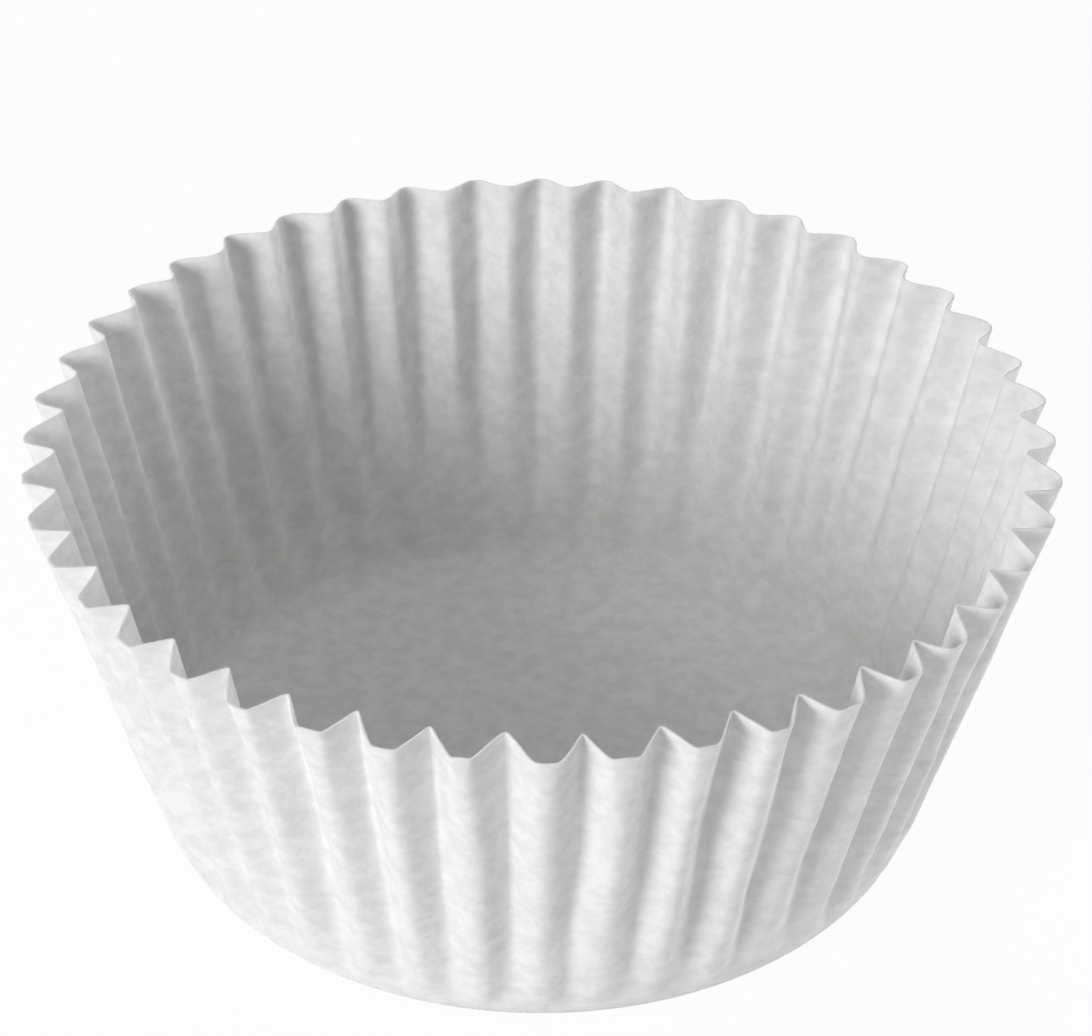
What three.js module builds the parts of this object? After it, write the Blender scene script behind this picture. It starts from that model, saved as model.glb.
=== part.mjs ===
// Pleated paper baking cup: one disc of thin paper pressed into a flat floor, a rounded foot and
// a flaring wall of even pleats. Millimetres, +Z up, origin under the middle of the floor.
import * as THREE from "three";

// Driving dimensions
const footDiameter = 48; // where the line of the wall would meet the floor
const rimDiameter = 61; // at the cut edge, midway between the ridges and the grooves
const wallHeight = 25.8; // from the floor to the cut edge, on the same middle line
const foldRadius = 1.5; // of the rounded turn between floor and wall
const paperThickness = 0.1;
const pleatCount = 44;
const pleatDepth = 2; // from ridge to groove at the cut edge, square to the wall
const ridgeFlat = 1.1; // width of a ridge's flattened crest at the cut edge
const grooveFlat = 0.25; // width of the bottom of a groove at the cut edge

// Facets
const foldFacets = 3; // round the foot
const wallFacets = 6; // up the wall, closer together near the foot

// The middle line of the wall and floor, seen from the side. It runs out along the floor, turns up
// through the fold and climbs the wall, and a place on it is given by its distance along the paper.
const lean = Math.atan2(rimDiameter / 2 - footDiameter / 2, wallHeight); // from upright
const turn = Math.PI / 2 - lean; // angle that the fold turns through
const foldReach = foldRadius * Math.tan(turn / 2); // from the corner to where the fold starts
const floorRadius = footDiameter / 2 - foldReach;
const foldLength = foldRadius * turn;
const wallLength = wallHeight / Math.cos(lean) - foldReach;
const paperRadius = floorRadius + foldLength + wallLength; // of the flat disc before pressing

// Radius, height and steepness of the middle line at a distance from the disc's centre
function middleLine(distance) {
  const floorLevel = paperThickness / 2;
  if (distance <= floorRadius) return { radius: distance, height: floorLevel, steepness: 0 };
  const bent = Math.min(distance - floorRadius, foldLength) / foldRadius;
  const climbed = Math.max(distance - floorRadius - foldLength, 0);
  return {
    radius: floorRadius + foldRadius * Math.sin(bent) + climbed * Math.cos(bent),
    height: floorLevel + foldRadius * (1 - Math.cos(bent)) + climbed * Math.sin(bent),
    steepness: bent,
  };
}

// A disc pressed into a cup has more paper round it than the cup has room for, and the spare
// length goes into the pleats. So they start at nothing in the fold and deepen up the wall.
function depthAt(distance) {
  const spare = (at) => Math.sqrt(Math.max(at * at - middleLine(at).radius ** 2, 0));
  return (pleatDepth * spare(distance)) / spare(paperRadius);
}

// The corners of one pleat: where each lies across the pitch, from 0 to 1, and on which side
const rimPitch = (Math.PI * rimDiameter) / pleatCount;
const ridgeShare = ridgeFlat / rimPitch;
const grooveShare = grooveFlat / rimPitch;
const pleatCorners = [
  { across: -ridgeShare / 2, side: 1 },
  { across: ridgeShare / 2, side: 1 },
  { across: 0.5 - grooveShare / 2, side: -1 },
  { across: 0.5 + grooveShare / 2, side: -1 },
];
const cornersRound = pleatCount * pleatCorners.length;

// Point of the paper's middle surface: a ridge stands out from the middle line, a groove stands in
function paperPoint(cornerIndex, distance) {
  const pleat = Math.floor(cornerIndex / pleatCorners.length);
  const corner = pleatCorners[(cornerIndex + cornersRound) % pleatCorners.length];
  const angle = ((pleat + corner.across) / pleatCount) * 2 * Math.PI - Math.PI / 2;
  const { radius, height, steepness } = middleLine(distance);
  const offset = (corner.side * depthAt(distance)) / 2;
  const reach = radius + offset * Math.sin(steepness);
  const level = height - offset * Math.cos(steepness);
  return new THREE.Vector3(reach * Math.cos(angle), reach * Math.sin(angle), level);
}

// Distances along the paper at which the surface has a ring of corners, from floor edge to rim
const ringDistances = [floorRadius];
for (let i = 1; i <= foldFacets; i++) ringDistances.push(floorRadius + (foldLength * i) / foldFacets);
for (let i = 1; i <= wallFacets; i++) {
  const share = (i / wallFacets) ** 1.4; // closer together near the foot
  ringDistances.push(floorRadius + foldLength + wallLength * share);
}

// Unit normal of the paper at a ring corner, out of the cup, and how much longer the step to the
// skin must be there for the two faces beside a pleat's crease to be a full thickness apart
function creaseNormal(cornerIndex, ring) {
  const here = paperPoint(cornerIndex, ringDistances[ring]);
  const below = paperPoint(cornerIndex, ringDistances[Math.max(ring - 1, 0)]);
  const above = paperPoint(cornerIndex, ringDistances[Math.min(ring + 1, ringDistances.length - 1)]);
  const up = above.sub(below);
  const sideNormal = (neighbour) =>
    paperPoint(neighbour, ringDistances[ring]).sub(here).multiplyScalar(neighbour - cornerIndex)
      .cross(up).normalize();
  const before = sideNormal(cornerIndex - 1);
  const after = sideNormal(cornerIndex + 1);
  const normal = before.clone().add(after).normalize();
  return { normal, stretch: 1 / normal.dot(after) };
}

// Closed sheet: an outer skin from the middle of the floor to the rim, and an inner skin back down
function pleatedCup() {
  const positions = [];
  const addRing = (ring, side) => {
    for (let i = 0; i < cornersRound; i++) {
      const point = paperPoint(i, ringDistances[ring]);
      if (ring === 0) {
        point.z += (-side * paperThickness) / 2; // the floor's edge, on its flat faces
      } else {
        const { normal, stretch } = creaseNormal(i, ring);
        point.addScaledVector(normal, (side * stretch * paperThickness) / 2);
      }
      positions.push(point.x, point.y, point.z);
    }
  };
  const rings = ringDistances.map((_, ring) => ring);
  rings.forEach((ring) => addRing(ring, 1));
  rings.reverse().forEach((ring) => addRing(ring, -1));
  const bottomCentre = positions.length / 3;
  positions.push(0, 0, 0);
  const topCentre = bottomCentre + 1;
  positions.push(0, 0, paperThickness);

  const faces = [];
  const bands = rings.length * 2 - 1;
  for (let i = 0; i < cornersRound; i++) {
    const next = (i + 1) % cornersRound;
    faces.push(bottomCentre, next, i);
    for (let band = 0; band < bands; band++) {
      const low = band * cornersRound;
      const high = low + cornersRound;
      faces.push(low + i, low + next, high + next, low + i, high + next, high + i);
    }
    faces.push(bands * cornersRound + i, bands * cornersRound + next, topCentre);
  }
  const geometry = new THREE.BufferGeometry();
  geometry.setAttribute("position", new THREE.Float32BufferAttribute(positions, 3));
  geometry.setIndex(faces);
  geometry.computeVertexNormals();
  return geometry;
}

const whitePaper = new THREE.MeshStandardMaterial({ color: 0xf2f2f0, roughness: 0.85, metalness: 0 });

const cup = new THREE.Mesh(pleatedCup(), whitePaper);
cup.name = "pleated_cup";

const bakingCup = new THREE.Group();
bakingCup.add(cup);

export default bakingCup;
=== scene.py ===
# Pleated paper baking cup on a pale table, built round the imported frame. Metres throughout.
import math

import bpy
import numpy as np
from mathutils import Matrix, Vector


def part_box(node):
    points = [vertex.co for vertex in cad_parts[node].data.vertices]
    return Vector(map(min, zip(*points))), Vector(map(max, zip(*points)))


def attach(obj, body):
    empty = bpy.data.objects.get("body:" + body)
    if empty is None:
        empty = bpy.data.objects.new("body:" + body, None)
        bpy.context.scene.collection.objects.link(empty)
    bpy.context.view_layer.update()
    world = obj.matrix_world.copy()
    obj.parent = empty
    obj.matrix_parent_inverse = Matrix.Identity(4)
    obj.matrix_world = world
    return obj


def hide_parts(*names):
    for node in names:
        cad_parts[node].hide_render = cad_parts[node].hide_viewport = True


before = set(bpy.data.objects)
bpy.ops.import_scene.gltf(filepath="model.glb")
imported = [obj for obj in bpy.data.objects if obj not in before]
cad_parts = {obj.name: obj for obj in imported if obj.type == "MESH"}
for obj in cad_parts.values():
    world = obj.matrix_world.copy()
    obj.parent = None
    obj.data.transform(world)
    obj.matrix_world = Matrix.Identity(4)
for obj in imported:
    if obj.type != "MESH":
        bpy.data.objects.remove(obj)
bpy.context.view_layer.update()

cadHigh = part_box("pleated_cup")[1]
scene = bpy.context.scene
mm = 0.001


# Paper cup: the sizes of the sheet, of its pleats and of their unevenness
cup = {
    "footRadius": 24 * mm,  # where the line of the wall would meet the floor
    "foldRadius": 1.5 * mm,  # of the turn between floor and wall
    "paperThickness": 0.1 * mm,
    "pleats": 44,
    "pleatDepth": 2.0 * mm,  # ridge to groove at the cut edge
    "ridgeFlat": 0.31,  # flattened crest at the cut edge, as a share of the pitch
    "grooveFlat": 0.04,
    "flatLow": 0.06,  # what both come to at the foot, where a pleat is an even wave
    "roundShare": 0.5,  # of the rounded pleat in the section, below the creased cut edge
    "creaseFade": 9,  # above 1, the higher the closer the creases keep to the cut edge
    "flatRise": 3,  # the same for the flattened ridges and grooves
    "rimBlur": 0.031,  # rounding of the creases at the cut edge, as a share of the pitch
    "blurVariation": 0.6,
    "footBlur": 0.13,  # rounding at the foot, where a pleat is a soft wave
    "blurRise": 0.5,  # below 1 the creases soften soon below the cut edge
    "backBlur": 0.125,  # rounding at the cut edge of the back, where the grooves are the broad ones
    "backRidge": 0.05,
    "backGroove": 0.16,
    "backStart": 0.4,  # the share of the back's section at the sides, before it is eased
    "backTurn": 0.9,  # how fast that share falls to the front and rises to the back
    "fluteStart": 0.5,  # where the flutes begin, as a share of the fold
    "footFade": 3.0 * mm,  # height over which the flutes come out of the smooth foot
    "fadeVariation": 0.45,
    "depthVariation": 0.10,
    "depthHold": 4,  # the higher the closer to the cut edge the depths vary
    "crestVariation": 0.06,  # of the flattened crest, as a share of the pitch
    "sway": 0.05,  # how far a pleat strays sideways, as a share of the pitch
    "swayShift": 0.3,  # of the sway's noise against the others, as a share of the pitch
    "stray": 0.14 * mm,  # how far it strays in or out
    "strayRise": 3,  # straying is full from 1 / this of the way up
    "dents": 0.07 * mm,  # shallow dents of the pressed paper
    "dentFade": 0.7,  # share of them that is gone at the cut edge
    "floorWave": 0.05 * mm,
    "floorEase": 0.3,  # share of the floor's radius over which the waves set in
    "edgeFray": 0.03 * mm,  # unevenness of the cut edge
    "frayHold": 8,  # the higher the closer it keeps to the cut edge
    "seed": 44,
}

# Noise cells of each kind of unevenness: round the cup, or per pleat, and up the wall. The floor's
# run from its middle outwards
cells = {
    "fade": {"perPleat": 2, "up": 1},
    "depth": {"perPleat": 1, "up": 4},
    "crest": {"perPleat": 1, "up": 3},
    "blur": {"perPleat": 1, "up": 2},
    "stray": {"perPleat": 2, "up": 3},
    "sway": {"perPleat": 2, "up": 3},
    "broadDents": {"round": 66, "up": 10, "weight": 1},
    "smallDents": {"round": 145, "up": 16, "weight": 0.7},
    "fray": {"round": 400, "up": 1},
    "floor": {"round": 9, "up": 4},
}

# Rows of the sheet's grid, and the terms of the pleat's cosine series
rows = {"floor": 5, "fold": 7, "wall": 32}
rowSpacing = 1.1  # above 1 the wall's rows are closer together near the foot
leanRounds = 20  # in which the wall's lean is worked out, far more than it needs
seriesTerms = 24
# Where the points of half a pleat lie, from the middle of a ridge (0) to near that of a groove (0.5)
halfPleat = np.array([0, 0.06, 0.105, 0.135, 0.17, 0.215, 0.265, 0.315, 0.365, 0.41, 0.45, 0.48])


def sheetProfile(c):
    # Middle line of the paper seen from the side: flat floor, an arc, then a straight leaning wall.
    # The rim's mean radius and height come from the solid: its widest reach less half a pleat.
    # The reach of half a pleat depends on the lean, so the two are brought together in a few rounds.
    halfDepth = c["pleatDepth"] / 2
    lean = 0
    for _ in range(leanRounds):
        rimRadius = cadHigh.x - halfDepth * math.cos(lean) - c["paperThickness"] / 2
        rimHeight = cadHigh.z - halfDepth * math.sin(lean)
        lean = math.atan2(rimRadius - c["footRadius"], rimHeight - c["paperThickness"] / 2)
    turn = math.pi / 2 - lean
    reach = c["foldRadius"] * math.tan(turn / 2)
    wall = math.hypot(rimRadius - c["footRadius"], rimHeight) - reach
    return {"floor": c["footRadius"] - reach, "fold": c["foldRadius"] * turn, "wall": wall}


def middleLine(c, p, along):
    # Radius, height and steepness at a distance along the paper from its centre.
    bent = np.clip(along - p["floor"], 0, p["fold"]) / c["foldRadius"]
    climbed = np.maximum(along - p["floor"] - p["fold"], 0)
    radius = np.minimum(along, p["floor"]) + c["foldRadius"] * np.sin(bent) + climbed * np.cos(bent)
    height = c["foldRadius"] * (1 - np.cos(bent)) + climbed * np.sin(bent) + c["paperThickness"] / 2
    return radius, height, bent


def smoothStep(x):
    # 0 below 0, 1 above 1, with no corner at either end.
    x = np.clip(x, 0, 1)
    return x * x * (3 - 2 * x)


def latticeNoise(rng, around, up, cellsRound, cellsUp):
    # Smooth noise from -1 to 1: random values on a grid, eased between with a cubic.
    # It closes round the cup.
    grid = rng.uniform(-1, 1, (cellsUp + 2, cellsRound))
    x, y = (around % 1) * cellsRound, np.clip(up, 0, 1) * cellsUp
    i, j = np.floor(x).astype(int) % cellsRound, np.floor(y).astype(int)
    fx, fy = smoothStep(x - np.floor(x)), smoothStep(y - j)
    k = (i + 1) % cellsRound
    low = grid[j, i] * (1 - fx) + grid[j, k] * fx
    high = grid[j + 1, i] * (1 - fx) + grid[j + 1, k] * fx
    return low * (1 - fy) + high * fy


def cosineWave(across, blur, weightOf):
    # Even section of a pleat, 1 in the middle of a ridge and -1 in that of a groove, blurred by a
    # Gaussian: the sum of weightOf(k) * exp(-(2 pi k blur)^2 / 2) * cos(2 pi k x), brought between
    # -1 and 1.
    wave, crest, valley = 0, 0, 0
    for k in range(1, seriesTerms + 1):
        weight = weightOf(k) * np.exp(-0.5 * (2 * np.pi * k * blur) ** 2)
        wave = wave + weight * np.cos(2 * np.pi * k * across)
        crest = crest + weight
        valley = valley + weight * (-1) ** k
    return 2 * (wave - valley) / (crest - valley) - 1


def unevenness(c, rng, kind, around, up):
    # Noise of one kind on the cells that it has.
    cell = cells[kind]
    cellsRound = cell["round"] if "round" in cell else cell["perPleat"] * c["pleats"]
    return latticeNoise(rng, around, up, cellsRound, cell["up"])


def cupSheet(c):
    # Points of the paper's middle surface on a grid: rows run from near the floor's centre to the rim
    # and columns run round. point = middle line + its normal * (half depth * wave + stray + dents).
    p = sheetProfile(c)
    pleats = c["pleats"]
    rng = np.random.default_rng(c["seed"])
    withinPleat = np.concatenate([halfPleat, [0.5], 1 - halfPleat[:0:-1]])
    columns = (np.arange(pleats)[:, None] + withinPleat[None, :]).ravel() / pleats
    floorRows = p["floor"] * np.linspace(0, 1, rows["floor"] + 1)[1:-1]
    foldRows = p["floor"] + p["fold"] * np.linspace(0, 1, rows["fold"], endpoint=False)
    wallRows = p["floor"] + p["fold"] + p["wall"] * np.linspace(0, 1, rows["wall"] + 1) ** rowSpacing
    around, along = np.meshgrid(columns, np.concatenate([floorRows, foldRows, wallRows]))
    radius, height, bent = middleLine(c, p, along)
    # 0 at the foot, 1 at the rim
    up = np.clip((along - p["floor"]) / (along[-1, 0] - p["floor"]), 0, 1)

    # The spare length of a flat disc pressed to a cup deepens the pleats up the wall
    spare = np.sqrt(np.maximum(along ** 2 - radius ** 2, 0))
    fade = c["footFade"] * (1 + c["fadeVariation"] * unevenness(c, rng, "fade", around, 0 * up))
    flutes = smoothStep((along - p["floor"] - c["fluteStart"] * p["fold"]) / fade)
    depth = c["pleatDepth"] * spare / spare[-1, 0] * flutes
    variation = c["depthVariation"] * unevenness(c, rng, "depth", around, up)
    depth = depth * (1 + variation * (1 - up ** c["depthHold"]))

    across = np.abs((around * pleats + 0.5) % 1 - 0.5)
    # 0 at the front, 1 at the back
    toBack = smoothStep(c["backStart"] - c["backTurn"] * np.cos(2 * np.pi * around))
    ridgeFlat = c["ridgeFlat"] + (c["backRidge"] - c["ridgeFlat"]) * toBack
    grooveFlat = c["grooveFlat"] + (c["backGroove"] - c["grooveFlat"]) * toBack
    ridge = c["flatLow"] + (ridgeFlat - c["flatLow"]) * up ** c["flatRise"]
    ridge = ridge + c["crestVariation"] * unevenness(c, rng, "crest", around, up)
    groove = c["flatLow"] + (grooveFlat - c["flatLow"]) * up ** c["flatRise"]
    rimBlur = c["rimBlur"] + (c["backBlur"] - c["rimBlur"]) * toBack
    rimBlur = rimBlur * (1 + c["blurVariation"] * (1 - toBack) * unevenness(c, rng, "blur", around, up))
    blur = rimBlur + (c["footBlur"] - rimBlur) * (1 - up) ** c["blurRise"]

    # Creased pleat: a trapezoid. Round-ridged pleat: |cos(pi x)|, which keeps its groove sharp
    def creasedWeight(k):
        return (np.cos(np.pi * k * ridge) - np.cos(np.pi * k * (1 - groove))) / k ** 2

    def roundWeight(k):
        return (-1) ** (k + 1) / (4 * k * k - 1)

    creased = cosineWave(across, blur, creasedWeight)
    roundRidges = cosineWave(across, blur, roundWeight)
    share = c["roundShare"] * (1 - toBack) * (1 - up ** c["creaseFade"])
    wave = creased * (1 - share) + roundRidges * share

    stray = c["stray"] * unevenness(c, rng, "stray", around, up) * smoothStep(up * c["strayRise"])
    dents = 0
    for kind in ("broadDents", "smallDents"):
        dents = dents + cells[kind]["weight"] * unevenness(c, rng, kind, around, up)
    dents = c["dents"] * dents * flutes * (1 - c["dentFade"] * up)
    offset = wave * depth / 2 + stray + dents
    fray = c["edgeFray"] * unevenness(c, rng, "fray", around, up) * up ** c["frayHold"]
    sway = c["sway"] * unevenness(c, rng, "sway", around + c["swayShift"] / pleats, up) * flutes

    reach = radius + offset * np.sin(bent) + fray * np.cos(bent)
    level = height - offset * np.cos(bent) + fray * np.sin(bent)
    inward = np.clip((p["floor"] - along) / (c["floorEase"] * p["floor"]), 0, 1)
    outward = along / p["floor"]
    ripple = unevenness(c, rng, "floor", around, outward) * np.clip(outward, 0, 1)
    level = level + c["floorWave"] * (1 + ripple) * inward
    angle = 2 * np.pi * (around + sway / pleats) - np.pi / 2
    return np.stack([reach * np.cos(angle), reach * np.sin(angle), level], -1)


def skins(c, points):
    # The two faces of the paper, half a thickness to either side of the middle surface.
    east = np.roll(points, -1, 1) - np.roll(points, 1, 1)
    north = np.gradient(points, axis=0)
    normal = np.cross(east, north)
    normal /= np.linalg.norm(normal, axis=-1, keepdims=True)
    half = c["paperThickness"] / 2
    return points + normal * half, points - normal * half


def buildCup(c):
    points = cupSheet(c)
    outer, inner = skins(c, points)
    count, columns = points.shape[:2]
    stack = np.concatenate([outer, inner[::-1]])
    verts = stack.reshape(-1, 3)
    half = c["paperThickness"] / 2
    centre = points[0].mean(0)
    verts = np.vstack([verts, centre - [0, 0, half], centre + [0, 0, half]])
    bottom, top = len(verts) - 2, len(verts) - 1
    i = np.arange(columns)
    j = (i + 1) % columns
    bands = np.arange(len(stack) - 1)[:, None] * columns
    quads = np.stack([bands + i, bands + j, bands + columns + j, bands + columns + i], -1).reshape(-1, 4)
    last = (len(stack) - 1) * columns
    fans = np.concatenate([
        np.stack([j, i, np.full(columns, bottom)], -1),
        np.stack([last + i, last + j, np.full(columns, top)], -1),
    ])
    mesh = bpy.data.meshes.new("paperCup")
    mesh.from_pydata(verts.tolist(), [], quads.tolist() + fans.tolist())
    mesh.polygons.foreach_set("use_smooth", np.ones(len(mesh.polygons), bool))
    # the band between the two skins at the rim is the cut edge, and it takes the second material: the
    # paper lightened as a painted highlight
    slots = np.zeros(len(mesh.polygons), np.int32)
    rimBand = (count - 1) * columns
    slots[rimBand:rimBand + columns] = 1
    mesh.polygons.foreach_set("material_index", slots)
    ends = np.zeros(2 * len(mesh.edges), np.int32)
    mesh.edges.foreach_get("vertices", ends)
    ring = (ends // columns).reshape(-1, 2)
    onEdge = (ring[:, 0] == ring[:, 1]) & ((ring[:, 0] == count - 1) | (ring[:, 0] == count))
    mesh.attributes.new("sharp_edge", "BOOLEAN", "EDGE").data.foreach_set("value", onEdge)
    mesh.update()
    piece = bpy.data.objects.new("paperCup", mesh)
    scene.collection.objects.link(piece)
    return piece


# Paper: thin, uncoated and slightly cloudy, with short fibres pressed into it
paper = {
    "colour": (0.845, 0.845, 0.84),
    "thinColour": (0.765, 0.765, 0.76),  # where the fibres lie thinner
    # painted highlight: the cut edge is coloured lighter than the paper, for the light that it catches
    "edgeHighlightColour": (0.90, 0.90, 0.895),
    "roughness": 0.6,
    "gloss": 0.22,  # specular level
    "cloudSize": 1.3 * mm,
    "cloudDetail": 2,
    "fibreSize": 0.42 * mm,
    "fibreDetail": 3,
    "noiseRoughness": 0.5,
    "grainStretch": (1, 1, 1.25),  # above 1 upwards, so that the patches lie across the flutes
    "cloudShare": 0.7,  # of the colour's mottle, the rest is the fibres'
    "mottleLow": 0.40,  # noise at which the paper is thin, and
    "mottleHigh": 0.60,  # at which it is thick
    "cloudBump": 0.12 * mm,
    "fibreBump": 0.008 * mm,
}


def paperMaterial(name, colour, thinColour):
    # Colour = a ramp of cloud noise and fibre noise together, relief = a bump of each.
    mat = bpy.data.materials.new(name)
    mat.use_nodes = True
    nodes, links = mat.node_tree.nodes, mat.node_tree.links
    shader = nodes["Principled BSDF"]
    shader.inputs["Roughness"].default_value = paper["roughness"]
    shader.inputs["Specular IOR Level"].default_value = paper["gloss"]
    place = nodes.new("ShaderNodeTexCoord")
    grain = nodes.new("ShaderNodeVectorMath")
    grain.operation = "MULTIPLY"
    grain.inputs[1].default_value = paper["grainStretch"]
    links.new(place.outputs["Object"], grain.inputs[0])
    noises = []
    for kind in ("cloud", "fibre"):
        noise = nodes.new("ShaderNodeTexNoise")
        noise.inputs["Scale"].default_value = 1 / paper[kind + "Size"]
        noise.inputs["Detail"].default_value = paper[kind + "Detail"]
        noise.inputs["Roughness"].default_value = paper["noiseRoughness"]
        links.new(grain.outputs["Vector"], noise.inputs["Vector"])
        noises.append(noise)
    cloud, fibre = noises
    mottle = nodes.new("ShaderNodeMix")
    mottle.data_type = "FLOAT"
    mottle.inputs["Factor"].default_value = paper["cloudShare"]
    links.new(fibre.outputs["Fac"], mottle.inputs["A"])
    links.new(cloud.outputs["Fac"], mottle.inputs["B"])
    tint = nodes.new("ShaderNodeValToRGB")
    tint.color_ramp.elements[0].position = paper["mottleLow"]
    tint.color_ramp.elements[1].position = paper["mottleHigh"]
    tint.color_ramp.elements[0].color = (*thinColour, 1)
    tint.color_ramp.elements[1].color = (*colour, 1)
    links.new(mottle.outputs["Result"], tint.inputs["Fac"])
    links.new(tint.outputs["Color"], shader.inputs["Base Color"])
    relief = None
    for noise, height in ((cloud, paper["cloudBump"]), (fibre, paper["fibreBump"])):
        bump = nodes.new("ShaderNodeBump")
        bump.inputs["Distance"].default_value = height
        links.new(noise.outputs["Fac"], bump.inputs["Height"])
        if relief:
            links.new(relief.outputs["Normal"], bump.inputs["Normal"])
        relief = bump
    links.new(relief.outputs["Normal"], shader.inputs["Normal"])
    return mat


# Studio: a pale table, a surround that is brightest at the horizon, a soft key lamp at the front
# left and three weaker lamps
studio = {
    "tableSize": 3.0,
    "tableColour": (0.80, 0.80, 0.80),
    "tableRoughness": 0.9,
    "tableGlow": 0.95,  # share of the table's camera colour that is plain white
    "skyLow": 0.79,  # strength of the surround at the horizon
    "skyHigh": 0.12,  # and overhead
    "skyRise": 0.65,  # sine of the height at which it has come down to that
}
lamps = {
    "key": {"place": (-0.344, -0.369, 0.200), "size": 0.26, "power": 1.82},
    "right": {"place": (0.499, 0.03, 0.06), "size": 0.28, "power": 1.2},
    "back": {"place": (-0.10, 0.50, 0.14), "size": 0.28, "power": 0.75},
    "top": {"place": (0.0, 0.08, 0.55), "size": 0.28, "power": 0.36},
}


def cameraRay(nodes, links):
    # 1 for what the camera sees directly, mirrored or through glass.
    path = nodes.new("ShaderNodeLightPath")
    seen = path.outputs["Is Camera Ray"]
    for kind in ("Is Glossy Ray", "Is Transmission Ray"):
        either = nodes.new("ShaderNodeMath")
        either.operation = "MAXIMUM"
        links.new(seen, either.inputs[0])
        links.new(path.outputs[kind], either.inputs[1])
        seen = either.outputs[0]
    return seen


def makeTable():
    # Nearly plain white to the camera, and otherwise matte, so that it lights the cup from below.
    mesh = bpy.data.meshes.new("table")
    half = studio["tableSize"] / 2
    corners = [(-half, -half, 0), (half, -half, 0), (half, half, 0), (-half, half, 0)]
    mesh.from_pydata(corners, [], [(0, 1, 2, 3)])
    table = bpy.data.objects.new("table", mesh)
    scene.collection.objects.link(table)
    mat = bpy.data.materials.new("paleTable")
    mat.use_nodes = True
    nodes, links = mat.node_tree.nodes, mat.node_tree.links
    matte = nodes["Principled BSDF"]
    matte.inputs["Base Color"].default_value = (*studio["tableColour"], 1)
    matte.inputs["Roughness"].default_value = studio["tableRoughness"]
    glow = nodes.new("ShaderNodeEmission")
    share = nodes.new("ShaderNodeMath")
    share.operation = "MULTIPLY"
    share.inputs[1].default_value = studio["tableGlow"]
    links.new(cameraRay(nodes, links), share.inputs[0])
    mix = nodes.new("ShaderNodeMixShader")
    links.new(share.outputs[0], mix.inputs["Fac"])
    links.new(matte.outputs["BSDF"], mix.inputs[1])
    links.new(glow.outputs["Emission"], mix.inputs[2])
    links.new(mix.outputs["Shader"], nodes["Material Output"].inputs["Surface"])
    mesh.materials.append(mat)
    return table


def makeWorld():
    # White to the camera, and otherwise a light that weakens from the horizon upwards.
    world = bpy.data.worlds.new("whiteSurround")
    scene.world = world
    world.use_nodes = True
    nodes, links = world.node_tree.nodes, world.node_tree.links
    back = nodes["Background"]
    back.inputs["Color"].default_value = (1, 1, 1, 1)
    direction = nodes.new("ShaderNodeTexCoord")
    split = nodes.new("ShaderNodeSeparateXYZ")
    links.new(direction.outputs["Generated"], split.inputs[0])
    sky = nodes.new("ShaderNodeMapRange")
    sky.inputs["From Min"].default_value = 0
    sky.inputs["From Max"].default_value = studio["skyRise"]
    sky.inputs["To Min"].default_value = studio["skyLow"]
    sky.inputs["To Max"].default_value = studio["skyHigh"]
    links.new(split.outputs["Z"], sky.inputs["Value"])
    level = nodes.new("ShaderNodeMapRange")
    level.inputs["To Max"].default_value = 1.0
    links.new(cameraRay(nodes, links), level.inputs["Value"])
    links.new(sky.outputs["Result"], level.inputs["To Min"])
    links.new(level.outputs["Result"], back.inputs["Strength"])


def makeLamp(name, lamp, target):
    data = bpy.data.lights.new(name, "AREA")
    data.shape = "DISK"
    data.size = lamp["size"]
    data.energy = lamp["power"]
    light = bpy.data.objects.new(name, data)
    light.location = lamp["place"]
    light.rotation_euler = (target - Vector(lamp["place"])).to_track_quat("-Z", "Y").to_euler()
    scene.collection.objects.link(light)


# Camera: fitted to the picture's outline of the wall, the foot and the rim. Angles in degrees, the
# lens and the sensor in millimetres
camera = {
    "distance": 241 * mm,
    "elevation": 35.24,
    "azimuth": -0.65,
    "roll": 0.51,
    "lens": 128.4,
    "sensor": 36,
    "nearest": 0.01,
    "farthest": 20,
    "targetHeight": 19.75 * mm,
    "targetRight": 0.32 * mm,
}


def makeCamera():
    high = math.radians(camera["elevation"])
    side = math.radians(camera["azimuth"])
    back = Vector((math.sin(side) * math.cos(high), -math.cos(side) * math.cos(high), math.sin(high)))
    right = Vector((math.cos(side), math.sin(side), 0))
    data = bpy.data.cameras.new("camera")
    data.lens = camera["lens"]
    data.sensor_width = camera["sensor"]
    data.clip_start = camera["nearest"]
    data.clip_end = camera["farthest"]
    cam = bpy.data.objects.new("camera", data)
    target = right * camera["targetRight"] + Vector((0, 0, camera["targetHeight"]))
    cam.location = target + back * camera["distance"]
    aim = (-back).to_track_quat("-Z", "Y")
    roll = Matrix.Rotation(math.radians(camera["roll"]), 3, "Z").to_quaternion()
    cam.rotation_mode = "QUATERNION"
    cam.rotation_quaternion = aim @ roll
    scene.collection.objects.link(cam)
    scene.camera = cam


makeCamera()
print("camera placed")

paperCup = buildCup(cup)
paperCup.data.materials.append(paperMaterial("cupPaper", paper["colour"], paper["thinColour"]))
# the cut edge: the paper's material with its colour lightened as a painted highlight
paperCup.data.materials.append(paperMaterial("cutEdgePaintedHighlight", paper["edgeHighlightColour"], paper["colour"]))
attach(paperCup, "root")
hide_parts("pleated_cup")
print("paper cup built:", len(paperCup.data.polygons), "faces")

makeTable()
makeWorld()
cupMiddle = Vector((0, 0, cadHigh.z / 2))
for name, lamp in lamps.items():
    makeLamp(name, lamp, cupMiddle)
print("table, surround and lamps made")

scene.view_settings.view_transform = "Standard"
